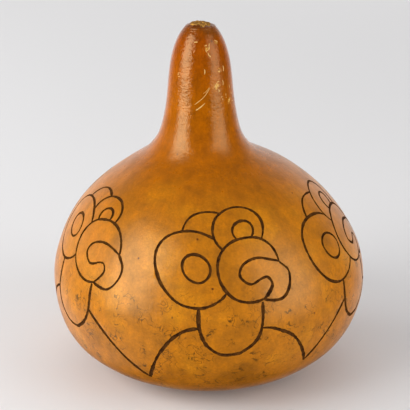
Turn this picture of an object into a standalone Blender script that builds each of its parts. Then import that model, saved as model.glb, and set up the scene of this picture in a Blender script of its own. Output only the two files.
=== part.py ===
"""A dried bottle gourd, standing on its flattened underside with its neck up.

The fruit grew as one piece, so it is one closed solid. Its outline is a smooth curve turned about the
upright axis, then made a little uneven, as a grown thing is: the belly is slightly oval and the neck
stands off-centre. Lengths are in millimetres and are turned to metres where the curve is drawn.
The origin is the middle of the underside, on the surface that the gourd stands on. +Z is up.
"""

import math

import bmesh
import bpy

MM = 0.001

# Driving dimensions, in millimetres. A radius here is a pull point's, so the skin comes out a little inside.
BELLY_RADIUS = 78.5
BELLY_HEIGHT = 50.0
FOOT_RADIUS = 27.0
DIMPLE_DEPTH = 1.6
NECK_BASE_HEIGHT = 113.5
NECK_RADIUS = 16.5
DOME_HEIGHT = 172.4
STALK_RADIUS = 5.7
STALK_TOP = 174.6

# The pull points of the outline, as (radius, height), from the middle of the underside to the tip.
BLOSSOM_SCAR = [(0.0, 0.9), (1.6, 0.9), (2.6, DIMPLE_DEPTH), (6.0, DIMPLE_DEPTH)]
FOOT_RING = [(9.0, 0.0), (12.0, 0.0), (16.0, 0.0), (20.0, 0.0), (FOOT_RADIUS, 0.0)]
BELLY = [
    (47.0, 2.5),
    (61.0, 10.0),
    (71.5, 20.0),
    (77.0, 34.0),
    (BELLY_RADIUS, BELLY_HEIGHT),
    (74.0, 66.0),
    (66.5, 80.0),
    (54.5, 93.0),
    (40.5, 103.0),
]
NECK = [
    (28.0, 109.5),
    (24.0, NECK_BASE_HEIGHT),
    (20.0, 119.0),
    (18.0, 127.0),
    (NECK_RADIUS, 137.0),
    (15.5, 148.0),
    (14.2, 158.0),
    (11.4, 166.5),
    (7.9, 171.3),
]
STALK_SCAR = [
    (6.8, DOME_HEIGHT),
    (STALK_RADIUS, 172.7),
    (4.8, 174.1),
    (3.0, STALK_TOP),
    (0.0, STALK_TOP),
]
OUTLINE = BLOSSOM_SCAR + FOOT_RING + BELLY + NECK + STALK_SCAR

# How far the middle of the gourd strays along X, in millimetres, and the heights that it does so between.
FOOT_SHIFT = -0.8
FOOT_SPAN = (12.0, 45.0)
SHOULDER_SHIFT = -1.2
SHOULDER_SPAN = (60.0, 90.0)
NECK_SHIFT = -2.8
NECK_SPAN = (98.0, 114.0)

# How far the belly strays from round, as shares of its radius, and the heights where that starts and stops.
OVAL = 0.006
LOBES = 0.0025
LOBE_COUNT = 6
LOBE_START = 0.8
SWELL_SPAN = (4.0, 40.0)
SLIM_SPAN = (70.0, 115.0)

CURVE_ORDER = 4
POINTS_PER_PULL = 2
TURN_STEPS = 64
SEAM_GAP = 1e-6


def clear_scene():
    for obj in list(bpy.data.objects):
        bpy.data.objects.remove(obj)


def draw_outline(name, points):
    """An open NURBS curve in the XZ plane, running from the tip down to the underside."""
    curve = bpy.data.curves.new(name, "CURVE")
    curve.dimensions = "3D"
    spline = curve.splines.new("NURBS")
    spline.points.add(len(points) - 1)
    for pull, (radius, height) in zip(spline.points, reversed(points)):
        pull.co = (radius * MM, 0.0, height * MM, 1.0)
    spline.order_u = CURVE_ORDER
    spline.use_endpoint_u = True
    spline.resolution_u = POINTS_PER_PULL
    outline = bpy.data.objects.new(name, curve)
    bpy.context.scene.collection.objects.link(outline)
    outline.hide_render = True
    outline.display_type = "WIRE"
    return outline


def turn(outline, name, steps):
    """The closed surface that the outline sweeps in one full turn about the upright axis."""
    mesh = bpy.data.meshes.new_from_object(outline)
    mesh.name = name
    shape = bmesh.new()
    shape.from_mesh(mesh)
    bmesh.ops.spin(
        shape,
        geom=shape.verts[:] + shape.edges[:],
        axis=(0.0, 0.0, 1.0),
        cent=(0.0, 0.0, 0.0),
        steps=steps,
        angle=math.tau,
    )
    bmesh.ops.remove_doubles(shape, verts=shape.verts, dist=SEAM_GAP)
    bmesh.ops.recalc_face_normals(shape, faces=shape.faces)
    shape.to_mesh(mesh)
    shape.free()
    return mesh


def ease(value, start, end):
    """0 below start, 1 above end and a smooth S between them."""
    share = min(max((value - start) / (end - start), 0.0), 1.0)
    return share * share * (3.0 - 2.0 * share)


def axis_shift(height):
    """How far the middle of the gourd lies from its axis at this height, along X. All in millimetres."""
    foot = FOOT_SHIFT * (1.0 - ease(height, *FOOT_SPAN))
    shoulder = SHOULDER_SHIFT * ease(height, *SHOULDER_SPAN)
    neck = NECK_SHIFT * ease(height, *NECK_SPAN)
    return foot + shoulder + neck


def out_of_round(angle, height):
    """The share of its turned radius that the gourd has in this direction, at most 1 along X."""
    fullness = ease(height, *SWELL_SPAN) * (1.0 - ease(height, *SLIM_SPAN))
    oval = OVAL * (math.cos(2.0 * angle) - 1.0)
    lobes = LOBES * (math.cos(LOBE_COUNT * angle + LOBE_START) - math.cos(LOBE_START))
    return 1.0 + fullness * (oval + lobes)


def grow_uneven(mesh):
    """Moves each point of the turned surface sideways. Heights stay, so the foot stays flat."""
    for vertex in mesh.vertices:
        height = vertex.co.z / MM
        angle = math.atan2(vertex.co.y, vertex.co.x)
        share = out_of_round(angle, height)
        vertex.co.x = vertex.co.x * share + axis_shift(height) * MM
        vertex.co.y = vertex.co.y * share


def rest_on_axis(mesh):
    """Puts the middle of the gourd's width and depth on the upright axis."""
    for side in (0, 1):
        places = [vertex.co[side] for vertex in mesh.vertices]
        middle = (min(places) + max(places)) / 2.0
        for vertex in mesh.vertices:
            vertex.co[side] -= middle


def dried_rind():
    """The varnished rind: a warm amber, with the soft gloss of a hand-rubbed finish."""
    material = bpy.data.materials.new("varnished_gourd_rind")
    material.use_nodes = True
    shader = material.node_tree.nodes["Principled BSDF"]
    shader.inputs["Base Color"].default_value = (0.56, 0.21, 0.02, 1.0)
    shader.inputs["Roughness"].default_value = 0.32
    shader.inputs["Metallic"].default_value = 0.0
    return material


def make_gourd():
    outline = draw_outline("gourd_outline", OUTLINE)
    mesh = turn(outline, "bottle_gourd", TURN_STEPS)
    grow_uneven(mesh)
    rest_on_axis(mesh)
    mesh.materials.clear()
    mesh.materials.append(dried_rind())
    mesh.shade_smooth()
    gourd = bpy.data.objects.new("bottle_gourd", mesh)
    bpy.context.scene.collection.objects.link(gourd)
    return gourd


def main():
    clear_scene()
    gourd = make_gourd()
    size = [round(side / MM, 1) for side in gourd.dimensions]
    print(f"bottle gourd: {size} mm, {len(gourd.data.polygons)} faces")


main()
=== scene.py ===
# %% [markdown]
# # A dried bottle gourd with a burnt and carved ornament
#
# A bottle gourd is the fruit of a climbing plant. Dried, it is a light woody shell with a waxy skin, and
# for a craft piece the skin is scraped, burnt and carved with a hot tool, and rubbed with varnish. This
# lesson builds one around the measured frame: first its outline and skin, then the ornament that is cut
# into it, then its finishes, and last a plain studio. Lengths are in millimetres until they reach Blender,
# which counts in metres.

# %% Load the frame and keep its box
import math
import random

import bpy
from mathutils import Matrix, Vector, noise
from mathutils.bvhtree import BVHTree


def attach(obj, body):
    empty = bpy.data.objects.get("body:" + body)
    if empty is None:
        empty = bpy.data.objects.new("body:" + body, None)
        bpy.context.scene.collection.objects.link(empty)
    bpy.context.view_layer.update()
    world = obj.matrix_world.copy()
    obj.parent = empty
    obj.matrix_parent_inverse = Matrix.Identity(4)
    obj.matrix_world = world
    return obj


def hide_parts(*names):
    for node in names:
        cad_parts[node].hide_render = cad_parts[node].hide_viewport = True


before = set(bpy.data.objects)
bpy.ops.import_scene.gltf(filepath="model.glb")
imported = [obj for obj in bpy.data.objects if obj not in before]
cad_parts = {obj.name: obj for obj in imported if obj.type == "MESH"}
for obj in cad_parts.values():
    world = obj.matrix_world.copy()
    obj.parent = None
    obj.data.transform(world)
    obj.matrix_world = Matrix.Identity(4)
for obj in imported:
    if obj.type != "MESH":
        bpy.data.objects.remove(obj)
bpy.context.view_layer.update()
MM = 0.001


# %% [markdown]
# ## The outline
#
# Seen from the side, the gourd is one flowing line: out from the small scar where the blossom sat, along
# the flattened foot, round the belly, in at the shoulder and up the neck to the stalk scar. It could be
# sculpted from a sphere, but a line that is turned about the upright axis keeps every ring round and can be
# measured. A NURBS curve suits it, because it runs smoothly past its pull points and never kinks.

# %% Pull points of the outline, as (radius, height) in millimetres
BELLY_RADIUS = 78.5
BELLY_HEIGHT = 50.0
FOOT_RADIUS = 27.0
DIMPLE_DEPTH = 1.6
NECK_BASE_HEIGHT = 113.5
NECK_RADIUS = 16.5
DOME_HEIGHT = 172.4
STALK_RADIUS = 5.7
STALK_TOP = 174.6

BLOSSOM_SCAR = [(0.0, 0.9), (1.6, 0.9), (2.6, DIMPLE_DEPTH), (6.0, DIMPLE_DEPTH)]
FOOT_RING = [(9.0, 0.0), (12.0, 0.0), (16.0, 0.0), (20.0, 0.0), (FOOT_RADIUS, 0.0)]
BELLY = [
    (47.0, 2.5),
    (61.0, 10.0),
    (71.5, 20.0),
    (77.0, 34.0),
    (BELLY_RADIUS, BELLY_HEIGHT),
    (74.0, 66.0),
    (66.5, 80.0),
    (54.5, 93.0),
    (40.5, 103.0),
]
NECK = [
    (28.0, 109.5),
    (24.0, NECK_BASE_HEIGHT),
    (20.0, 119.0),
    (18.0, 127.0),
    (NECK_RADIUS, 137.0),
    (15.5, 148.0),
    (14.2, 158.0),
    (11.4, 166.5),
    (7.9, 171.3),
]
STALK_SCAR = [
    (6.8, DOME_HEIGHT),
    (STALK_RADIUS, 172.7),
    (4.8, 174.1),
    (3.0, STALK_TOP),
    (0.0, STALK_TOP),
]
OUTLINE = BLOSSOM_SCAR + FOOT_RING + BELLY + NECK + STALK_SCAR
print("outline:", len(OUTLINE), "pull points")


# %% Draw the outline as a curve and turn it into a line of vertices
RINGS_PER_PULL = 6
bpy.ops.object.select_all(action="DESELECT")
bpy.ops.curve.primitive_nurbs_path_add(location=(0.0, 0.0, 0.0))
gourd = bpy.context.object
gourd.name = "gourd"
spline = gourd.data.splines[0]
spline.points.add(len(OUTLINE) - len(spline.points))
for pull, (radius, height) in zip(spline.points, reversed(OUTLINE)):
    pull.co = (radius * MM, 0.0, height * MM, 1.0)
spline.order_u = 4
spline.use_endpoint_u = True
gourd.data.resolution_u = RINGS_PER_PULL
spline.resolution_u = RINGS_PER_PULL
bpy.ops.object.convert(target="MESH")
profile = [(vertex.co.x / MM, vertex.co.z / MM) for vertex in gourd.data.vertices]
profile.sort(key=lambda place: place[1])
print("outline line:", len(gourd.data.vertices), "vertices")


# %% Turn the line about the upright axis
TURN_STEPS = 240
SEAM_GAP = 0.001
bpy.ops.object.mode_set(mode="EDIT")
bpy.ops.mesh.select_all(action="SELECT")
bpy.ops.mesh.spin(steps=TURN_STEPS, angle=math.tau, center=(0.0, 0.0, 0.0), axis=(0.0, 0.0, 1.0))
bpy.ops.mesh.select_all(action="SELECT")
bpy.ops.mesh.remove_doubles(threshold=SEAM_GAP * MM)
bpy.ops.mesh.normals_make_consistent(inside=False)
bpy.ops.object.mode_set(mode="OBJECT")
print("turned skin:", len(gourd.data.polygons), "faces")


# %% [markdown]
# ## Growth
#
# A turned shape is too perfect for a fruit. On the vine one side gets more sun, the seed chambers press
# outwards as faint lobes, and the neck leans off the middle. Each vertex is moved sideways by smooth
# functions of its height and direction, which leaves the foot flat. The belly keeps the same oval and the
# same shifts as the measured frame, and a shallow waviness on top of them gives the gloss its wandering
# edges.

# %% How the gourd grew away from round
FOOT_SHIFT = -0.8
FOOT_SPAN = (12.0, 45.0)
SHOULDER_SHIFT = -1.2
SHOULDER_SPAN = (60.0, 90.0)
NECK_SHIFT = -2.8
NECK_SPAN = (98.0, 114.0)
OVAL = 0.006
LOBES = 0.0025
LOBE_COUNT = 6
LOBE_START = 0.8
SWELL_SPAN = (4.0, 40.0)
SLIM_SPAN = (70.0, 115.0)


def ease(value, start, end):
    """0 below start, 1 above end and a smooth S between them."""
    share = min(max((value - start) / (end - start), 0.0), 1.0)
    return share * share * (3.0 - 2.0 * share)


def axis_shift(height):
    """How far the middle of the gourd lies from its axis at this height, along X."""
    foot = FOOT_SHIFT * (1.0 - ease(height, *FOOT_SPAN))
    shoulder = SHOULDER_SHIFT * ease(height, *SHOULDER_SPAN)
    neck = NECK_SHIFT * ease(height, *NECK_SPAN)
    return foot + shoulder + neck


def out_of_round(angle, height):
    """The share of its turned radius that the gourd has in this direction."""
    fullness = ease(height, *SWELL_SPAN) * (1.0 - ease(height, *SLIM_SPAN))
    oval = OVAL * (math.cos(2.0 * angle) - 1.0)
    lobes = LOBES * (math.cos(LOBE_COUNT * angle + LOBE_START) - math.cos(LOBE_START))
    return 1.0 + fullness * (oval + lobes)


print("the tip strays", round(axis_shift(STALK_TOP), 2), "mm along X")


# %% Move each vertex sideways, and put the middle of the gourd back on the axis
for vertex in gourd.data.vertices:
    height = vertex.co.z / MM
    angle = math.atan2(vertex.co.y, vertex.co.x)
    share = out_of_round(angle, height)
    vertex.co.x = vertex.co.x * share + axis_shift(height) * MM
    vertex.co.y = vertex.co.y * share
corners = [Vector(corner) for corner in gourd.bound_box]
middle = (corners[0] + corners[6]) / 2.0
middle.z = 0.0
for vertex in gourd.data.vertices:
    vertex.co -= middle
gourd.data.update()
print("middle was off the axis by", [round(side / MM, 2) for side in middle], "mm")


# %% Press a shallow waviness into the skin
WAVE_HEIGHT = 0.22
WAVE_LENGTH = 21.0
RIPPLE_HEIGHT = 0.045
RIPPLE_LENGTH = 8.0
MOSTLY_IN = 0.4
CALM_FOOT = (3.0, 12.0)
CALM_TIP = (168.0, 174.0)
outward = [vertex.normal.copy() for vertex in gourd.data.vertices]
for vertex, normal in zip(gourd.data.vertices, outward):
    height = vertex.co.z / MM
    free = ease(height, *CALM_FOOT) * (1.0 - ease(height, *CALM_TIP))
    wave = WAVE_HEIGHT * (noise.noise(vertex.co / (WAVE_LENGTH * MM)) - MOSTLY_IN)
    ripple = RIPPLE_HEIGHT * noise.noise(vertex.co / (RIPPLE_LENGTH * MM))
    vertex.co += normal * (wave + ripple) * free * MM
gourd.data.update()
print("skin:", [round(side / MM, 1) for side in gourd.dimensions], "mm")


# %% [markdown]
# ## The stalk scar and the blossom scar
#
# Where the stalk broke off, the neck ends in a low ragged dome of dry fibres, with fine ridges round it and
# one side higher. The blossom left a much smaller cork button underneath. Both are part of the skin's own
# mesh, where the rings are close together, so the dome's vertices are pushed about as one presses clay.

# %% Rough up the stalk scar
SCAR_EDGE = 7.2
SCAR_BASE = 172.2
SCAR_RISE = 2.0
SCAR_CROWN = 1.7
SCAR_RIM = 3.8
SCAR_TILT = 0.45
HIGH_SIDE = math.radians(175.0)
TEAR_HEIGHT = 0.3
TEAR_SPREAD = 0.16
RIDGE_GAP = 1.35
RIDGE_HEIGHT = 0.13
neck_middle = axis_shift(STALK_TOP) - middle.x / MM


def scar_place(vertex):
    """How far out from the middle of the neck a vertex is, and in which direction, in millimetres."""
    x = vertex.co.x / MM - neck_middle
    y = vertex.co.y / MM
    return math.hypot(x, y), math.atan2(y, x)


for vertex in gourd.data.vertices:
    reach, angle = scar_place(vertex)
    if vertex.co.z / MM > DOME_HEIGHT - 1.0 and reach < SCAR_EDGE:
        raised = 1.0 - ease(reach, SCAR_RIM, SCAR_EDGE)
        dome = SCAR_BASE + SCAR_RISE * (1.0 - (reach / SCAR_EDGE) ** SCAR_CROWN)
        ragged = noise.noise(Vector((2.4 * math.cos(angle), 2.4 * math.sin(angle), reach / 1.6)))
        ridges = math.sin(math.tau * reach / RIDGE_GAP + 1.3 * math.sin(angle) + 2.0 * ragged)
        tilt = SCAR_TILT * math.cos(angle - HIGH_SIDE) * reach / STALK_RADIUS
        vertex.co.z = (dome + raised * (tilt + TEAR_HEIGHT * ragged + RIDGE_HEIGHT * ridges)) * MM
        spread = 1.0 + TEAR_SPREAD * raised * ragged
        vertex.co.x = (neck_middle + (vertex.co.x / MM - neck_middle) * spread) * MM
        vertex.co.y *= spread
gourd.data.update()
print("highest point:", round(max(vertex.co.z for vertex in gourd.data.vertices) / MM, 2), "mm")


# %% [markdown]
# ## The ornament
#
# The pattern is a band of six like figures round the belly. Each is a big ring with a smaller ring in it, a
# cap ring that peeps out above beside a hood, a scroll that laps over both, and a tongue that hangs below,
# with swags that reach to the next figure. It was drawn freehand with a hot point, so no line is quite round
# or quite even. The strokes could be painted in a material, but the tool burns a real groove, and light
# catches in it, so each stroke is a round bar laid along the skin and cut away.
#
# A figure is drawn flat, as on paper: "around" runs to the right along the belly and "up" climbs the skin
# from the widest height. Both are millimetres on the skin.

# %% From the flat drawing to the skin
def climb_table():
    """(length climbed, radius, height) up the outline, with the length 0 at the widest height."""
    rows = [(0.0, *profile[0])]
    for before, here in zip(profile, profile[1:]):
        rows.append((rows[-1][0] + math.dist(before, here), *here))
    above = next(index for index, row in enumerate(rows) if row[2] > BELLY_HEIGHT)
    share = (BELLY_HEIGHT - rows[above - 1][2]) / (rows[above][2] - rows[above - 1][2])
    start = rows[above - 1][0] + share * (rows[above][0] - rows[above - 1][0])
    return [(row[0] - start, row[1], row[2]) for row in rows]


CLIMB = climb_table()


def outline_at(up):
    """The turned radius and the height where the skin has climbed this far."""
    above = next(index for index, row in enumerate(CLIMB) if row[0] > up)
    low = CLIMB[above - 1]
    high = CLIMB[above]
    share = (up - low[0]) / (high[0] - low[0])
    return low[1] + share * (high[1] - low[1]), low[2] + share * (high[2] - low[2])


def skin_point(azimuth, around, up):
    """Where a drawn point lies on the skin. The azimuth is in degrees, to the right of -Y."""
    radius, height = outline_at(up)
    turn = math.radians(azimuth - 90.0) + around / radius
    radius *= out_of_round(turn, height)
    place = Vector((radius * math.cos(turn) + axis_shift(height), radius * math.sin(turn), height))
    return place * MM - middle


print("skin from", round(CLIMB[0][0]), "to", round(CLIMB[-1][0]), "mm up")


# %% Strokes as arcs and as free curves
STROKE_STEP = 0.85


def arc(centre, radius, start, end):
    """Points along an arc, from one angle to another in degrees, anticlockwise where end is more."""
    steps = max(6, round(abs(math.radians(end - start)) * radius / STROKE_STEP))
    angles = [math.radians(start + (end - start) * step / steps) for step in range(steps + 1)]
    return [(centre[0] + radius * math.cos(turn), centre[1] + radius * math.sin(turn)) for turn in angles]


def sweep(*pulls):
    """A smooth line through every one of these points, by Catmull-Rom."""
    ends = [pulls[0], *pulls, pulls[-1]]
    points = [pulls[0]]
    for before, start, end, after in zip(ends, ends[1:], ends[2:], ends[3:]):
        steps = max(2, round(math.dist(start, end) / STROKE_STEP))
        for step in range(1, steps + 1):
            t = step / steps
            place = []
            for a, b, c, d in zip(before, start, end, after):
                bend = (2.0 * a - 5.0 * b + 4.0 * c - d) * t * t + (3.0 * b - a - 3.0 * c + d) * t**3
                place.append(0.5 * (2.0 * b + (c - a) * t + bend))
            points.append(tuple(place))
    return points


print("points round a ring of 10 mm:", len(arc((0.0, 0.0), 10.0, 0.0, 360.0)))


# %% Fixed points of a figure, and where two of its circles cross
SCROLL = (11.2, 26.4)
SCROLL_RADIUS = 15.2
FULL_RING = 18.0
FULL_CAP = 12.2
LEFT_HIP = (-14.0, 0.0)
RIGHT_HIP = (15.4, -1.0)
HOOK = (16.4, 12.1)
SHOULDER = (26.3, 28.0)
CURL = (15.6, 21.3)
CHIN = (4.6, -13.4)
CHEEK = (7.0, -12.0)


def meets(centre, radius, other, other_radius):
    """The two angles in degrees, as seen from its centre, where a circle crosses another one."""
    gap = math.dist(centre, other)
    toward = math.degrees(math.atan2(other[1] - centre[1], other[0] - centre[0]))
    share = (radius**2 + gap**2 - other_radius**2) / (2.0 * gap * radius)
    opening = math.degrees(math.acos(share))
    return toward - opening, toward + opening


print("the figure is", round(SHOULDER[1] - CHIN[1], 1), "mm from chin to shoulder")


# %% One figure, as strokes of (width in millimetres, closed or open, points)
def figure(ring, cap, lapped):
    """The strokes of a figure with these radii. A smaller ring sits higher, and a smaller cap lower."""
    shrunk = FULL_RING - ring
    tucked = FULL_CAP - cap
    ring_at = (-15.0 + 0.2 * shrunk, 27.5 + 0.85 * shrunk)
    cap_at = (8.0 - 1.5 * tucked, 45.5 - 1.2 * tucked)
    bud_at = (10.0 - 1.8 * tucked, 45.0 - 1.15 * tucked)
    bud = 5.0 - 0.35 * tucked
    hood_at = (-5.2 - 0.4 * tucked, 42.5 - 0.25 * tucked)
    hood = 13.4 - 0.7 * tucked
    above_scroll, below_scroll = meets(ring_at, ring, SCROLL, SCROLL_RADIUS)[::-1]
    ring_start = above_scroll if lapped else meets(ring_at, ring, cap_at, cap)[1]
    cap_left, cap_right = meets(cap_at, cap, SCROLL, SCROLL_RADIUS)
    cap_end = (meets(cap_at, cap, ring_at, ring)[0] if lapped else cap_left) + 360.0
    bud_left, bud_right = meets(bud_at, bud, SCROLL, SCROLL_RADIUS)
    hood_start = meets(hood_at, hood, ring_at, ring)[0] + 360.0
    hood_end = meets(hood_at, hood, cap_at, cap)[1]
    return [
        (1.45, False, arc(ring_at, ring, ring_start, below_scroll + 360.0)),
        (1.4, True, arc((-13.5, 27.6 + 1.3 * shrunk), 6.6 * ring / FULL_RING, 0.0, 355.0)),
        (1.3, False, arc(cap_at, cap, cap_right, cap_end)),
        (1.45, False, arc(bud_at, bud, bud_right, bud_left + 360.0)),
        (1.3, False, arc(hood_at, hood, hood_start, hood_end)),
        (1.5, False, arc(SCROLL, SCROLL_RADIUS, 6.0, 290.0)),
        (1.35, False, sweep(SHOULDER, (16.6, 31.2), (8.6, 28.8), (6.2, 23.8), (10.6, 19.8), CURL)),
        (1.5, False, sweep(CURL, (19.6, 22.0), (21.6, 18.6), (19.2, 14.6), HOOK)),
        (1.45, False, sweep(SHOULDER, (30.6, 23.0), (30.4, 16.2), (25.6, 11.2), HOOK)),
        (1.9, False, sweep((-14.0, ring_at[1] - ring), LEFT_HIP, (-11.0, -7.8), (-3.8, -13.4), CHIN, CHEEK)),
        (1.75, False, sweep(CHIN, (11.6, -8.4), RIGHT_HIP, (16.0, 11.4))),
    ]


print("strokes in a figure:", len(figure(FULL_RING, FULL_CAP, False)))


# %% The band: each figure's place, size, lean, ring and cap, and whether its ring laps over its cap
BAND = [
    (7.0, 1.0, 0.0, 18.0, 12.2, False),
    (67.5, 0.95, 0.09, 18.0, 12.2, False),
    (127.0, 1.02, -0.03, 17.2, 11.4, False),
    (186.0, 0.98, 0.04, 18.4, 12.6, False),
    (244.5, 1.0, -0.02, 16.8, 11.0, True),
    (300.8, 1.03, -0.05, 15.6, 10.1, True),
]

# Where the swags meet between a figure and the next: azimuth, height up the skin, and the sag of each swag.
MEETINGS = [
    (38.6, -26.0, 0.9, 0.25),
    (97.0, -29.0, 0.7, 0.6),
    (156.5, -27.0, 0.5, 0.9),
    (215.0, -31.0, 0.8, 0.4),
    (274.0, -28.0, 0.6, 0.7),
    (337.4, -32.0, 0.2, 1.0),
]
print("figures in the band:", len(BAND))


# %% A figure's own size and lean, and its two swags
SWAG_WIDTH = 1.75


def drawn(point, size, lean):
    """A point of the figure, at this figure's size and lean."""
    return point[0] * size + point[1] * lean, point[1] * size


def swag(start, end, sag):
    """A line from a hip to a meeting point: straight with sag 0, a quarter of an oval with sag 1."""
    steps = round(math.dist(start, end) / STROKE_STEP)
    points = []
    for step in range(steps + 1):
        t = step / steps
        across = sag * math.sin(t * math.pi / 2.0) + (1.0 - sag) * t
        down = sag * (1.0 - math.cos(t * math.pi / 2.0)) + (1.0 - sag) * t
        points.append((start[0] + (end[0] - start[0]) * across, start[1] + (end[1] - start[1]) * down))
    return points


def swags_of(number):
    """The two swags of a figure, to the meeting points on its left and right."""
    azimuth, size, lean = BAND[number][:3]
    lines = []
    for side, hip in ((-1, LEFT_HIP), (0, RIGHT_HIP)):
        meeting = MEETINGS[(number + side) % len(BAND)]
        turn = (meeting[0] - azimuth + 180.0) % 360.0 - 180.0
        end = (math.radians(turn) * outline_at(meeting[1])[0], meeting[1])
        sag = meeting[3] if side else meeting[2]
        lines.append((SWAG_WIDTH, False, swag(drawn(hip, size, lean), end, sag)))
    return lines


print("meeting points:", [(place[0], round(outline_at(place[1])[1], 1)) for place in MEETINGS])


# %% A hand that lays strokes on the skin as round bars
HAND_SEED = 7
hand = random.Random(HAND_SEED)
noise.seed_set(HAND_SEED)
skin = BVHTree.FromObject(gourd, bpy.context.evaluated_depsgraph_get())
BAR_SLOTS = {"burnt": 1, "scraped": 3}
SEED_RANGE = 90.0
SWAY = 0.4
SWAY_LENGTH = 9.0
PRESSURE = 0.55
PRESSURE_LENGTH = 11.0
SPUTTER = 0.35
SPUTTER_LENGTH = 1.5
TAPER_POINTS = 3.0
TIP_WIDTH = 0.7


def lay_stroke(kind, azimuth, width, depth, closed, points):
    """A bar along these drawn points, as deep in the skin as the tool went, wobbling as a hand does."""
    curve = bpy.data.curves.new(kind, "CURVE")
    curve.dimensions = "3D"
    curve.bevel_depth = MM
    curve.bevel_resolution = 2
    curve.use_fill_caps = True
    line = curve.splines.new("POLY")
    line.points.add(len(points) - 1)
    line.use_cyclic_u = closed
    seed = Vector((hand.uniform(0.0, SEED_RANGE), hand.uniform(0.0, SEED_RANGE), 0.0))
    for index, (around, up) in enumerate(points):
        place = Vector((around, up, 0.0))
        sway = noise.noise_vector(place / SWAY_LENGTH + seed) * SWAY
        uneven = PRESSURE * noise.noise(place / PRESSURE_LENGTH + seed)
        uneven += SPUTTER * noise.noise(place / SPUTTER_LENGTH + seed)
        from_end = TAPER_POINTS if closed else min(index, len(points) - 1 - index)
        taper = TIP_WIDTH + (1.0 - TIP_WIDTH) * ease(from_end, 0.0, TAPER_POINTS)
        half = width / 2.0 * (1.0 + uneven) * taper
        radius = (half * half + depth * depth) / (2.0 * depth)
        spot, normal, _, _ = skin.find_nearest(skin_point(azimuth, around + sway.x, up + sway.y))
        line.points[index].co = (*(spot + normal * (radius - depth) * MM), 1.0)
        line.points[index].radius = radius
    bar = bpy.data.objects.new(kind, curve)
    bpy.context.scene.collection.objects.link(bar)
    return bar


print("skin to follow:", len(gourd.data.polygons), "faces")


# %% Lay the band of figures
GROOVE_DEPTH = 0.45
bars = []
for number, (azimuth, size, lean, ring, cap, lapped) in enumerate(BAND):
    for width, closed, points in figure(ring, cap, lapped):
        points = [drawn(point, size, lean) for point in points]
        bars.append(lay_stroke("burnt", azimuth, width, GROOVE_DEPTH, closed, points))
    for width, closed, points in swags_of(number):
        bars.append(lay_stroke("burnt", azimuth, width, GROOVE_DEPTH, closed, points))
print("bars:", len(bars))


# %% [markdown]
# ## Knocks on the neck
#
# The neck is where hands take hold, so its varnish is chipped: a few short nicks, two long scratches, and
# little clusters. Under the varnish the rind is pale straw. They are cut as the ornament is, only much
# shallower. Each is given by its azimuth, its height up the skin, its length, its slope in degrees and its
# width.

# %% Lay the nicks
NICK_DEPTH = 0.1
NICK_BOW = 0.1
NICKS = [
    (-45.0, 126.0, 1.6, 80.0, 0.5),
    (-42.0, 125.0, 1.2, 15.0, 0.5),
    (-11.0, 142.0, 1.7, 10.0, 0.7),
    (7.0, 128.0, 2.2, 85.0, 0.5),
    (48.0, 128.5, 2.6, 88.0, 0.6),
    (44.0, 122.0, 2.4, 95.0, 0.6),
    (62.0, 119.0, 1.8, 100.0, 0.5),
    (44.0, 142.0, 2.2, -35.0, 0.6),
    (19.0, 136.0, 2.4, -60.0, 0.7),
    (4.0, 116.5, 11.0, 47.0, 0.3),
    (10.0, 119.0, 4.0, 42.0, 0.35),
    (0.0, 111.6, 5.5, 34.0, 0.45),
    (118.0, 129.0, 3.0, 70.0, 0.6),
    (150.0, 121.0, 5.0, -40.0, 0.5),
    (205.0, 133.0, 2.0, 20.0, 0.7),
    (262.0, 117.0, 4.0, 60.0, 0.5),
]
CLUSTERS = [(29.0, 120.5, 7, 1.5), (12.0, 139.5, 6, 1.5), (56.0, 112.0, 7, 2.4), (230.0, 124.0, 7, 2.0)]

for azimuth, up, count, spread in CLUSTERS:
    for _ in range(count):
        aside = math.degrees(hand.gauss(0.0, spread) / outline_at(up)[0])
        slope = hand.uniform(-90.0, 90.0)
        NICKS.append((azimuth + aside, up + hand.gauss(0.0, spread), hand.uniform(0.6, 1.6), slope, 0.5))
for azimuth, up, length, slope, width in NICKS:
    run = (math.cos(math.radians(slope)), math.sin(math.radians(slope)))
    half = length / 2.0
    start = (-run[0] * half, up - run[1] * half)
    bowed = (NICK_BOW * length * run[1], up)
    end = (run[0] * half, up + run[1] * half)
    bars.append(lay_stroke("scraped", azimuth, width, NICK_DEPTH, False, sweep(start, bowed, end)))
print("nicks:", len(NICKS))


# %% Turn the bars into closed meshes
bpy.ops.object.select_all(action="DESELECT")
for bar in bars:
    bar.select_set(True)
bpy.context.view_layer.objects.active = bars[0]
bpy.ops.object.convert(target="MESH")
bpy.ops.object.mode_set(mode="EDIT")
bpy.ops.mesh.select_all(action="SELECT")
bpy.ops.mesh.remove_doubles(threshold=SEAM_GAP * MM)
bpy.ops.mesh.normals_make_consistent(inside=False)
bpy.ops.object.mode_set(mode="OBJECT")
print("faces in the bars:", sum(len(bar.data.polygons) for bar in bars))


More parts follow.
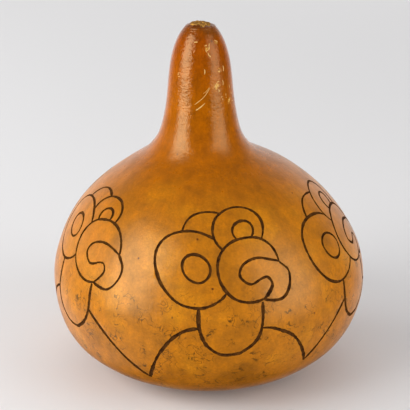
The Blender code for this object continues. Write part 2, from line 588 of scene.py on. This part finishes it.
# %% Give the skin and the bars the same list of finishes, so that each groove keeps its own
varnished_rind = bpy.data.materials.new("varnished_gourd_rind")
burnt_groove = bpy.data.materials.new("hot_tool_scorch")
dry_fibre = bpy.data.materials.new("dry_stalk_fibre")
scraped_rind = bpy.data.materials.new("scraped_gourd_rind")
finishes = [varnished_rind, burnt_groove, dry_fibre, scraped_rind]
for piece in [gourd, *bars]:
    piece.data.materials.clear()
    for finish in finishes:
        piece.data.materials.append(finish)
for bar in bars:
    slots = [BAR_SLOTS[bar.name.split(".")[0]]] * len(bar.data.polygons)
    bar.data.polygons.foreach_set("material_index", slots)
FIBRE_EDGE = STALK_RADIUS - 0.9
FIBRE_RAGGED = 1.4
BLOSSOM_RADIUS = 2.6
for polygon in gourd.data.polygons:
    reach, angle = scar_place(gourd.data.vertices[polygon.vertices[0]])
    ragged = noise.noise(Vector((2.0 * math.cos(angle), 2.0 * math.sin(angle), 7.0)))
    is_high = polygon.center.z / MM > BELLY_HEIGHT
    on_stalk = is_high and reach < FIBRE_EDGE + FIBRE_RAGGED * ragged
    on_blossom = not is_high and math.hypot(*polygon.center[:2]) / MM < BLOSSOM_RADIUS
    polygon.material_index = 2 if on_stalk or on_blossom else 0
print("faces of dry fibre:", sum(polygon.material_index == 2 for polygon in gourd.data.polygons))


# %% Cut all the bars away at once
cutters = bpy.data.collections.new("cutters")
for bar in bars:
    cutters.objects.link(bar)
bpy.ops.object.select_all(action="DESELECT")
gourd.select_set(True)
bpy.context.view_layer.objects.active = gourd
carve = gourd.modifiers.new("carve", "BOOLEAN")
carve.operation = "DIFFERENCE"
carve.operand_type = "COLLECTION"
carve.collection = cutters
carve.solver = "MANIFOLD"
bpy.ops.object.modifier_apply(modifier=carve.name)
for bar in bars:
    bpy.data.objects.remove(bar)
bpy.data.collections.remove(cutters)
print("cut skin:", len(gourd.data.polygons), "faces")


# %% Dissolve the vertices that only split an edge in two, which would fold over once in triangles
SHARPEST = math.radians(32.0)
edges_at = [0] * len(gourd.data.vertices)
for edge in gourd.data.edges:
    for corner in edge.vertices:
        edges_at[corner] += 1
bpy.ops.object.mode_set(mode="EDIT")
bpy.ops.mesh.select_mode(type="VERT")
bpy.ops.mesh.select_all(action="DESELECT")
bpy.ops.object.mode_set(mode="OBJECT")
gourd.data.vertices.foreach_set("select", [count == 2 for count in edges_at])
bpy.ops.object.mode_set(mode="EDIT")
bpy.ops.mesh.dissolve_verts()
bpy.ops.object.mode_set(mode="OBJECT")
print("dissolved:", edges_at.count(2), "vertices")
bpy.ops.object.shade_smooth_by_angle(angle=SHARPEST)
print("carved skin:", sum(len(polygon.vertices) - 2 for polygon in gourd.data.polygons), "triangles")


# %% [markdown]
# ## Finishes
#
# Each finish is a tree of nodes. Three small helpers keep the trees readable: one turns the sRGB hex codes
# that a colour picker shows into the linear values that light is reckoned in, one adds a node with its
# settings and links, and one works out a pattern's scale. The patterns read Object coordinates, which are
# metres on the gourd, so a pattern's scale is one over the size of its features.

# %% The three helpers
def linear(code):
    """The linear colour of an sRGB hex code."""
    channels = []
    for start in (0, 2, 4):
        value = int(code[start : start + 2], 16) / 255.0
        channels.append(value / 12.92 if value <= 0.04045 else ((value + 0.055) / 1.055) ** 2.4)
    return (*channels, 1.0)


def add_node(tree, kind, inputs, **choices):
    """A new node. Each input is given a value, or the socket that feeds it."""
    node = tree.nodes.new("ShaderNode" + kind)
    for name, choice in choices.items():
        setattr(node, name, choice)
    for name, value in inputs.items():
        if isinstance(value, bpy.types.NodeSocket):
            tree.links.new(value, node.inputs[name])
        else:
            node.inputs[name].default_value = value
    return node


def per_metre(size):
    """The scale of a pattern whose features are this many millimetres across."""
    return 1.0 / (size * MM)


print("a 5 mm pattern has scale", round(per_metre(5.0)))


# %% [markdown]
# ### Varnished rind
#
# The skin of a ripe gourd dries to honey and amber. Under a hand-rubbed oil varnish its mottling shows
# through: broad olive and straw clouds, a fine grain, faint fibres that run from foot to tip, and in the
# lower half the thin dark trails that mould leaves as the shell dries. Varnish gives a soft gloss on the
# belly. The neck, darker and russet towards the tip, is a little wrinkled, has been polished by hands and
# mirrors the lamps sharply, but for a dull brown collar round the stalk scar and some pale scuffs. The real
# fibres are finer than a tenth of a millimetre, so they are drawn wider here, to show at all.

# %% Where the rind ripened and where it is polished, by height in metres
varnished_rind.use_nodes = True
tree = varnished_rind.node_tree
shader = tree.nodes["Principled BSDF"]
place = add_node(tree, "TexCoord", {}).outputs["Object"]
height = add_node(tree, "SeparateXYZ", {"Vector": place}).outputs["Z"]
RIPENING = {"From Min": 0.084, "From Max": 0.118}
POLISHED = {"From Min": 0.098, "From Max": 0.138}
by_height = []
for span in (RIPENING, POLISHED):
    inputs = {"Value": height, **span}
    by_height.append(add_node(tree, "MapRange", inputs, interpolation_type="SMOOTHSTEP").outputs["Result"])
ripe, polished = by_height
print("ripe above", RIPENING["From Max"], "m, polished above", POLISHED["From Max"], "m")


# %% Clouds, mottling and grain, each as (size in millimetres, detail, roughness)
PATTERNS = {"clouds": (26.0, 4.0, 0.5), "mottle": (5.5, 4.0, 0.6), "grain": (1.1, 3.0, 0.65)}
noises = []
for size, detail, roughness in PATTERNS.values():
    inputs = {"Vector": place, "Scale": per_metre(size), "Detail": detail, "Roughness": roughness}
    noises.append(add_node(tree, "TexNoise", inputs).outputs["Fac"])
clouds, mottle, grain = noises
print("patterns:", PATTERNS)


# %% Fibres that run from foot to tip, and wrinkles round the neck
FIBRES_PER_TURN = 150.0
FIBRE_LENGTH = 14.0
flat = add_node(tree, "VectorMath", {0: place, 1: (1.0, 1.0, 0.0)}, operation="MULTIPLY").outputs["Vector"]
flat = add_node(tree, "VectorMath", {0: flat}, operation="NORMALIZE").outputs["Vector"]
flat = add_node(
    tree, "VectorMath", {0: flat, "Scale": FIBRES_PER_TURN / math.tau}, operation="SCALE"
).outputs["Vector"]
inputs = {0: height, 1: per_metre(FIBRE_LENGTH)}
along = add_node(tree, "Math", inputs, operation="MULTIPLY").outputs["Value"]
along = add_node(tree, "CombineXYZ", {"Z": along}).outputs["Vector"]
fibres = add_node(tree, "VectorMath", {0: flat, 1: along}, operation="ADD").outputs["Vector"]
fibres = add_node(
    tree, "TexNoise", {"Vector": fibres, "Scale": 1.0, "Detail": 3.0, "Distortion": 0.4}
).outputs["Fac"]
WRINKLE_LENGTH = 2.6
WRINKLE_GAP = 1.3
wrinkles = add_node(
    tree, "Mapping", {"Vector": place, "Scale": (1.0, 1.0, WRINKLE_LENGTH / WRINKLE_GAP)}
).outputs["Vector"]
inputs = {"Vector": wrinkles, "Scale": per_metre(WRINKLE_LENGTH), "Detail": 3.0, "Roughness": 0.6}
wrinkles = add_node(tree, "TexNoise", inputs).outputs["Fac"]
wrinkles = add_node(tree, "Math", {0: wrinkles, 1: polished}, operation="MULTIPLY").outputs["Value"]
print("fibres round the gourd:", round(FIBRES_PER_TURN))


# %% The ground colour by height: honey belly, amber neck, russet tip and a brown collar round the stalk
HONEY = linear("B26A04")
AMBER = linear("9E5402")
RUSSET = linear("8C3E03")
BARK = linear("6E3606")
TIP = {"From Min": 0.138, "From Max": 0.166, "To Max": 0.85}
COLLAR = {"From Min": 0.1714, "From Max": 0.1756, "To Max": 0.8}
COLLAR_RAGGED = 0.008
ground = add_node(tree, "Mix", {0: ripe, 6: HONEY, 7: AMBER}, data_type="RGBA").outputs[2]
tip = add_node(tree, "MapRange", {"Value": height, **TIP}).outputs["Result"]
ground = add_node(tree, "Mix", {0: tip, 6: ground, 7: RUSSET}, data_type="RGBA").outputs[2]
inputs = {0: mottle, 1: COLLAR_RAGGED, 2: height}
collar = add_node(tree, "Math", inputs, operation="MULTIPLY_ADD").outputs["Value"]
collar = add_node(tree, "MapRange", {"Value": collar, **COLLAR}).outputs["Result"]
ground = add_node(tree, "Mix", {0: collar, 6: ground, 7: BARK}, data_type="RGBA").outputs[2]
print("russet above", TIP["From Min"], "m, brown above", COLLAR["From Min"], "m")


# %% Clouds tint the belly olive and straw, and mottling, grain and fibres lighten and darken all of it
OLIVE_BROWN = linear("7A4806")
STRAW = linear("CC860A")
CLOUDS_ON_NECK = 0.15
shade = add_node(
    tree, "MapRange", {"Value": clouds, "From Min": 0.52, "From Max": 0.76, "To Max": 0.75}
).outputs["Result"]
inputs = {0: ripe, 1: CLOUDS_ON_NECK - 1.0, 2: 1.0}
below = add_node(tree, "Math", inputs, operation="MULTIPLY_ADD").outputs["Value"]
shade = add_node(tree, "Math", {0: shade, 1: below}, operation="MULTIPLY").outputs["Value"]
ground = add_node(tree, "Mix", {0: shade, 6: ground, 7: OLIVE_BROWN}, data_type="RGBA").outputs[2]
shine = add_node(
    tree, "MapRange", {"Value": clouds, "From Min": 0.46, "From Max": 0.24, "To Max": 0.6}
).outputs["Result"]
shine = add_node(tree, "Math", {0: shine, 1: below}, operation="MULTIPLY").outputs["Value"]
ground = add_node(tree, "Mix", {0: shine, 6: ground, 7: STRAW}, data_type="RGBA").outputs[2]
TONES = {
    "patch": (mottle, 0.3, 0.72, 1.18, 0.76),
    "fleck": (grain, 0.3, 0.7, 1.14, 0.86),
    "streak": (fibres, 0.3, 0.7, 1.07, 0.92),
}
tones = []
for value, start, end, light, dark in TONES.values():
    inputs = {"Value": value, "From Min": start, "From Max": end, "To Min": light, "To Max": dark}
    tones.append(add_node(tree, "MapRange", inputs).outputs["Result"])
patch, fleck, streak = tones
tone = add_node(tree, "Math", {0: patch, 1: fleck}, operation="MULTIPLY").outputs["Value"]
tone = add_node(tree, "Math", {0: tone, 1: streak}, operation="MULTIPLY").outputs["Value"]
ground = add_node(tree, "VectorMath", {0: ground, "Scale": tone}, operation="SCALE").outputs["Vector"]
print("tones:", list(TONES))


# %% Mould trails: thin dark lines where a noise is near its middle value, in damp patches low down
MOULD = linear("42280A")
TRAIL_SIZE = 4.5
TRAIL_STRENGTH = 0.85
DAMP_SIZE = 9.0
DAMP_SPAN = {"From Min": 0.46, "From Max": 0.57}
DAMP_HEIGHT = {"From Min": 0.078, "From Max": 0.052}
inputs = {"Vector": place, "Scale": per_metre(TRAIL_SIZE), "Detail": 2.5, "Distortion": 0.8}
trail_noise = add_node(tree, "TexNoise", inputs).outputs["Fac"]
off_line = add_node(tree, "Math", {0: trail_noise, 1: 0.5}, operation="SUBTRACT").outputs["Value"]
off_line = add_node(tree, "Math", {0: off_line}, operation="ABSOLUTE").outputs["Value"]
inputs = {"Value": off_line, "From Min": 0.026, "From Max": 0.006}
trails = add_node(tree, "MapRange", inputs, interpolation_type="SMOOTHSTEP").outputs["Result"]
inputs = {"Vector": place, "Scale": per_metre(DAMP_SIZE), "Detail": 2.0}
damp = add_node(tree, "TexNoise", inputs).outputs["Fac"]
damp = add_node(tree, "MapRange", {"Value": damp, **DAMP_SPAN}).outputs["Result"]
inputs = {"Value": height, **DAMP_HEIGHT}
low = add_node(tree, "MapRange", inputs, interpolation_type="SMOOTHSTEP").outputs["Result"]
for limit in (damp, low, TRAIL_STRENGTH):
    trails = add_node(tree, "Math", {0: trails, 1: limit}, operation="MULTIPLY").outputs["Value"]
ground = add_node(tree, "Mix", {0: trails, 6: ground, 7: MOULD}, data_type="RGBA").outputs[2]
print("mould below", DAMP_HEIGHT["From Min"], "m")


# %% Pin holes, in some of the cells of a loose pattern
PIN_HOLE = linear("5B2208")
HOLE_GAP = 9.0
HOLE_SHARE = 0.45
holes = add_node(tree, "TexVoronoi", {"Vector": place, "Scale": per_metre(HOLE_GAP)})
near = add_node(
    tree, "MapRange", {"Value": holes.outputs["Distance"], "From Min": 0.075, "From Max": 0.04}
).outputs["Result"]
chance = add_node(tree, "SeparateColor", {"Color": holes.outputs["Color"]}).outputs["Red"]
chosen = add_node(tree, "Math", {0: chance, 1: HOLE_SHARE}, operation="LESS_THAN").outputs["Value"]
holes = add_node(tree, "Math", {0: near, 1: chosen}, operation="MULTIPLY").outputs["Value"]
ground = add_node(tree, "Mix", {0: holes, 6: ground, 7: PIN_HOLE}, data_type="RGBA").outputs[2]
print("share of cells with a hole:", HOLE_SHARE)


# %% Soft scuffs where the neck was knocked, as (azimuth, height up the skin, reach in millimetres)
SCUFFS = [(29.0, 120.5, 4.6), (13.0, 139.0, 3.2), (41.0, 141.0, 2.6), (57.0, 112.5, 4.0), (38.0, 128.0, 3.0)]
PALE_STRAW = linear("E0AC4C")
CRUMBLE_SIZE = 1.2
WORN_SHARE = 0.45
SCUFFED = {"From Min": 0.8, "From Max": 1.0, "To Max": 0.75}
scuffed = 0.0
for azimuth, up, reach in SCUFFS:
    spot = skin_point(azimuth, 0.0, up)
    from_spot = add_node(tree, "VectorMath", {0: place, 1: spot}, operation="DISTANCE").outputs["Value"]
    inputs = {"Value": from_spot, "From Min": reach * MM, "From Max": 0.0}
    worn = add_node(tree, "MapRange", inputs).outputs["Result"]
    scuffed = add_node(tree, "Math", {0: scuffed, 1: worn}, operation="MAXIMUM").outputs["Value"]
inputs = {"Vector": place, "Scale": per_metre(CRUMBLE_SIZE), "Detail": 4.0, "Roughness": 0.7}
crumble = add_node(tree, "TexNoise", inputs).outputs["Fac"]
inputs = {0: scuffed, 1: WORN_SHARE, 2: crumble}
scuffed = add_node(tree, "Math", inputs, operation="MULTIPLY_ADD").outputs["Value"]
scuffed = add_node(tree, "MapRange", {"Value": scuffed, **SCUFFED}).outputs["Result"]
ground = add_node(tree, "Mix", {0: scuffed, 6: ground, 7: PALE_STRAW}, data_type="RGBA").outputs[2]
tree.links.new(ground, shader.inputs["Base Color"])
print("scuffs:", len(SCUFFS))


# %% The rind's gloss and its fine unevenness
BELLY_GLOSS = 0.32
NECK_GLOSS = 0.08
RUB = {"From Min": 0.3, "From Max": 0.7, "To Min": -0.04, "To Max": 0.04}
SCUFF_DULL = 0.35
COLLAR_DULL = 0.25
WRINKLE_SHARE = 2.5
DENT_DEPTH = 0.13
inputs = {"Factor": polished, "A": BELLY_GLOSS, "B": NECK_GLOSS}
gloss = add_node(tree, "Mix", inputs, data_type="FLOAT").outputs["Result"]
rub = add_node(tree, "MapRange", {"Value": mottle, **RUB}).outputs["Result"]
gloss = add_node(tree, "Math", {0: gloss, 1: rub}, operation="ADD").outputs["Value"]
for dulled, amount in ((scuffed, SCUFF_DULL), (collar, COLLAR_DULL)):
    inputs = {0: dulled, 1: amount, 2: gloss}
    gloss = add_node(tree, "Math", inputs, operation="MULTIPLY_ADD").outputs["Value"]
tree.links.new(gloss, shader.inputs["Roughness"])
dents = add_node(tree, "Math", {0: mottle, 1: grain}, operation="ADD").outputs["Value"]
inputs = {0: wrinkles, 1: WRINKLE_SHARE, 2: dents}
dents = add_node(tree, "Math", inputs, operation="MULTIPLY_ADD").outputs["Value"]
bump = add_node(tree, "Bump", {"Height": dents, "Strength": 0.8, "Distance": DENT_DEPTH * MM})
tree.links.new(bump.outputs["Normal"], shader.inputs["Normal"])
shader.inputs["IOR"].default_value = 1.76
shader.inputs["Specular Tint"].default_value = linear("FFE0AA")
print("nodes in the rind:", len(tree.nodes))


# %% [markdown]
# ### Scorched grooves
#
# The hot tool chars the rind to a dark brown crust, with almost no gloss. It is paler and browner where the
# tool moved fast.

# %% The scorch
burnt_groove.use_nodes = True
tree = burnt_groove.node_tree
shader = tree.nodes["Principled BSDF"]
place = add_node(tree, "TexCoord", {}).outputs["Object"]
CHARRED = linear("2A1504")
TOASTED = linear("5E380F")
CHAR_SIZE = 3.0
CRUMB_SIZE = 0.6
CRUMB_DEPTH = 0.1
inputs = {"Vector": place, "Scale": per_metre(CHAR_SIZE), "Detail": 4.0, "Roughness": 0.7}
char = add_node(tree, "TexNoise", inputs).outputs["Fac"]
char = add_node(tree, "MapRange", {"Value": char, "From Min": 0.35, "From Max": 0.7}).outputs["Result"]
crust = add_node(tree, "Mix", {0: char, 6: CHARRED, 7: TOASTED}, data_type="RGBA").outputs[2]
tree.links.new(crust, shader.inputs["Base Color"])
shader.inputs["Roughness"].default_value = 0.8
shader.inputs["Specular IOR Level"].default_value = 0.08
inputs = {"Vector": place, "Scale": per_metre(CRUMB_SIZE), "Detail": 2.0}
crumbs = add_node(tree, "TexNoise", inputs).outputs["Fac"]
bump = add_node(tree, "Bump", {"Height": crumbs, "Strength": 0.6, "Distance": CRUMB_DEPTH * MM})
tree.links.new(bump.outputs["Normal"], shader.inputs["Normal"])
print("nodes in the scorch:", len(tree.nodes))


# %% [markdown]
# ### Dry stalk fibre
#
# The broken stalk is a bundle of dry plant fibres, olive where bark is left and tan where it tore. Fibres are
# only tenths of a millimetre thick, so they are drawn somewhat coarser to show. It is quite dull.

# %% The stalk's fibres
dry_fibre.use_nodes = True
tree = dry_fibre.node_tree
shader = tree.nodes["Principled BSDF"]
place = add_node(tree, "TexCoord", {}).outputs["Object"]
DRY_BARK = linear("5E3A0C")
TORN = linear("C08A3A")
TUFT_SIZE = 1.6
TUFT_DEPTH = 0.3
inputs = {"Vector": place, "Scale": per_metre(TUFT_SIZE), "Detail": 5.0, "Roughness": 0.7}
tufts = add_node(tree, "TexNoise", inputs).outputs["Fac"]
torn = add_node(tree, "MapRange", {"Value": tufts, "From Min": 0.38, "From Max": 0.62}).outputs["Result"]
fibre = add_node(tree, "Mix", {0: torn, 6: DRY_BARK, 7: TORN}, data_type="RGBA").outputs[2]
tree.links.new(fibre, shader.inputs["Base Color"])
shader.inputs["Roughness"].default_value = 0.8
shader.inputs["Specular IOR Level"].default_value = 0.2
bump = add_node(tree, "Bump", {"Height": tufts, "Strength": 0.8, "Distance": TUFT_DEPTH * MM})
tree.links.new(bump.outputs["Normal"], shader.inputs["Normal"])
print("nodes in the stalk fibre:", len(tree.nodes))


# %% [markdown]
# ### Scraped rind
#
# Where the varnish is chipped off, the bare rind is pale straw and matt.

# %% The bare rind in the nicks
scraped_rind.use_nodes = True
tree = scraped_rind.node_tree
shader = tree.nodes["Principled BSDF"]
place = add_node(tree, "TexCoord", {}).outputs["Object"]
RAW_STRAW = linear("B98230")
BARE_STRAW = linear("E2BE72")
FLAKE_SIZE = 0.9
inputs = {"Vector": place, "Scale": per_metre(FLAKE_SIZE), "Detail": 3.0}
flakes = add_node(tree, "TexNoise", inputs).outputs["Fac"]
bare = add_node(tree, "Mix", {0: flakes, 6: RAW_STRAW, 7: BARE_STRAW}, data_type="RGBA").outputs[2]
tree.links.new(bare, shader.inputs["Base Color"])
shader.inputs["Roughness"].default_value = 0.6
print("nodes in the scraped rind:", len(tree.nodes))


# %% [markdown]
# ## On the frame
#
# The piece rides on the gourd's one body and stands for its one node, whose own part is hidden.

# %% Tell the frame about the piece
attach(gourd, "root")
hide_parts("bottle_gourd")
print("piece:", gourd.name, "with", len(gourd.data.materials), "finishes")


# %% [markdown]
# ## The studio
#
# The gourd stands on pale paper between two tall softboxes, the left one brighter, which the neck and the
# belly mirror. Two kickers behind them, a low strip in front and a lamp over the far paper only add light,
# and leave no reflection. The room is of two kinds. For what the varnish mirrors it is dark behind the
# camera and pale on the far side, which leaves the middle of the belly deep in colour while its rims turn
# light. For all else it is soft and even. The paper itself isn't mirrored, as it would haze the skin.

# %% The paper floor
FLOOR_WIDTH = 2.4
bpy.ops.object.select_all(action="DESELECT")
bpy.ops.mesh.primitive_plane_add(size=FLOOR_WIDTH, location=(0.0, 0.0, 0.0))
floor = bpy.context.object
floor.name = "paper_floor"
paper = bpy.data.materials.new("studio_paper")
paper.use_nodes = True
sheet = paper.node_tree.nodes["Principled BSDF"]
sheet.inputs["Base Color"].default_value = linear("E0DFDF")
sheet.inputs["Roughness"].default_value = 0.9
sheet.inputs["Specular IOR Level"].default_value = 0.0
floor.data.materials.append(paper)
floor.visible_glossy = False
print("paper:", FLOOR_WIDTH, "m wide")


# %% Where a lamp hangs, and which way it looks
AIM = Vector((-1.8, 0.0, 81.5)) * MM


def away(azimuth, elevation, distance):
    """A place this far from the gourd's middle. The azimuth is in degrees, to the right of -Y."""
    turn = math.radians(azimuth)
    lift = math.radians(elevation)
    way = Vector((math.sin(turn) * math.cos(lift), -math.cos(turn) * math.cos(lift), math.sin(lift)))
    return AIM + way * distance


def hang_lamp(name, place, target, size, power, mirrored):
    """A rectangular lamp of this width and height in metres, which looks at its target."""
    light = bpy.data.lights.new(name, "AREA")
    light.shape = "RECTANGLE"
    light.size = size[0]
    light.size_y = size[1]
    light.energy = power
    lamp = bpy.data.objects.new(name, light)
    bpy.context.scene.collection.objects.link(lamp)
    lamp.location = place
    lamp.rotation_euler = (target - place).to_track_quat("-Z", "Y").to_euler()
    lamp.visible_glossy = mirrored


print("the gourd's middle is", round(AIM.z / MM, 1), "mm up")


# %% The lamps: name, azimuth, elevation, distance and size in metres, watts, and if the varnish mirrors it
LAMPS = [
    ("left_softbox", -58.0, 21.0, 1.1, (0.74, 1.2), 12.2, True),
    ("right_softbox", 58.5, 17.0, 1.1, (0.74, 1.1), 4.9, True),
    ("left_kicker", -108.0, -2.0, 1.2, (0.6, 1.0), 18.0, False),
    ("right_kicker", 70.0, -4.0, 1.2, (0.6, 1.0), 8.5, False),
    ("low_front_fill", 12.0, 0.0, 1.2, (1.2, 0.16), 1.1, False),
]
for name, azimuth, elevation, distance, size, watts, is_mirrored in LAMPS:
    hang_lamp(name, away(azimuth, elevation, distance), AIM, size, watts, is_mirrored)
FAR_PAPER = Vector((0.7, 2.0, 0.0))
OVER_PAPER = FAR_PAPER + Vector((0.0, 0.0, 1.3))
hang_lamp("far_paper_lamp", OVER_PAPER, FAR_PAPER, (3.0, 1.0), 25.0, False)
print("lamps:", len(LAMPS) + 1)


# %% The room that the varnish mirrors: dark behind the camera, pale on the far side and low at both sides
world = bpy.data.worlds.new("studio")
bpy.context.scene.world = world
world.use_nodes = True
tree = world.node_tree
look = add_node(tree, "TexCoord", {}).outputs["Generated"]
look = add_node(tree, "SeparateXYZ", {"Vector": look})
FAR_SIDE = {"From Min": 0.35, "From Max": 1.0, "To Min": 0.02, "To Max": 1.0}
OVERHEAD = {"From Min": 0.25, "From Max": 0.75, "To Min": 1.0, "To Max": 0.08}
SHADOWED = {"From Min": -0.8, "From Max": -0.3, "To Min": 0.3, "To Max": 1.0}
LEFT_PAPER = {"From Min": -0.3, "From Max": -0.7, "To Min": 0.0, "To Max": 0.75}
RIGHT_PAPER = {"From Min": 0.3, "From Max": 0.7, "To Min": 0.0, "To Max": 0.25}
BELOW = {"From Min": -0.15, "From Max": -0.5, "To Min": 0.0, "To Max": 1.0}
SIDES = [
    ("Y", FAR_SIDE),
    ("Z", OVERHEAD),
    ("Z", SHADOWED),
    ("X", LEFT_PAPER),
    ("X", RIGHT_PAPER),
    ("Z", BELOW),
]
parts = []
for side, limits in SIDES:
    inputs = {"Value": look.outputs[side], **limits}
    parts.append(add_node(tree, "MapRange", inputs, interpolation_type="SMOOTHSTEP").outputs["Result"])
far_side, overhead, shadowed, left_paper, right_paper, below = parts
paper = add_node(tree, "Math", {0: left_paper, 1: right_paper}, operation="ADD").outputs["Value"]
paper = add_node(tree, "Math", {0: paper, 1: below}, operation="MULTIPLY").outputs["Value"]
level = add_node(tree, "Math", {0: far_side, 1: overhead}, operation="MULTIPLY").outputs["Value"]
level = add_node(tree, "Math", {0: level, 1: shadowed, 2: paper}, operation="MULTIPLY_ADD").outputs["Value"]
print("parts of the mirrored room:", len(parts))


# %% Soft even light for all else, and a pale backdrop
SOFT_LIGHT = 0.45
BACKDROP = 0.84
ray = add_node(tree, "LightPath", {})
inputs = {"Factor": ray.outputs["Is Glossy Ray"], "A": SOFT_LIGHT, "B": level}
level = add_node(tree, "Mix", inputs, data_type="FLOAT").outputs["Result"]
inputs = {"Factor": ray.outputs["Is Camera Ray"], "A": level, "B": BACKDROP}
level = add_node(tree, "Mix", inputs, data_type="FLOAT").outputs["Result"]
room = tree.nodes["Background"]
room.inputs["Color"].default_value = linear("F4F4F6")
tree.links.new(level, room.inputs["Strength"])
bpy.context.scene.view_settings.view_transform = "Standard"
print("nodes in the room:", len(tree.nodes))


# %% The camera, slightly above the gourd and looking down on it
CAMERA_ELEVATION = math.radians(20.5)
CAMERA_DISTANCE = 0.7
FOCAL_LENGTH = 123.9
lens = bpy.data.cameras.new("camera")
lens.sensor_width = 36.0
lens.lens = FOCAL_LENGTH
camera = bpy.data.objects.new("camera", lens)
bpy.context.scene.collection.objects.link(camera)
back = Vector((0.0, -math.cos(CAMERA_ELEVATION), math.sin(CAMERA_ELEVATION)))
camera.location = AIM + back * CAMERA_DISTANCE
camera.rotation_euler = (-back).to_track_quat("-Z", "Y").to_euler()
bpy.context.scene.camera = camera
print("camera:", CAMERA_DISTANCE, "m away with a lens of", FOCAL_LENGTH, "mm")
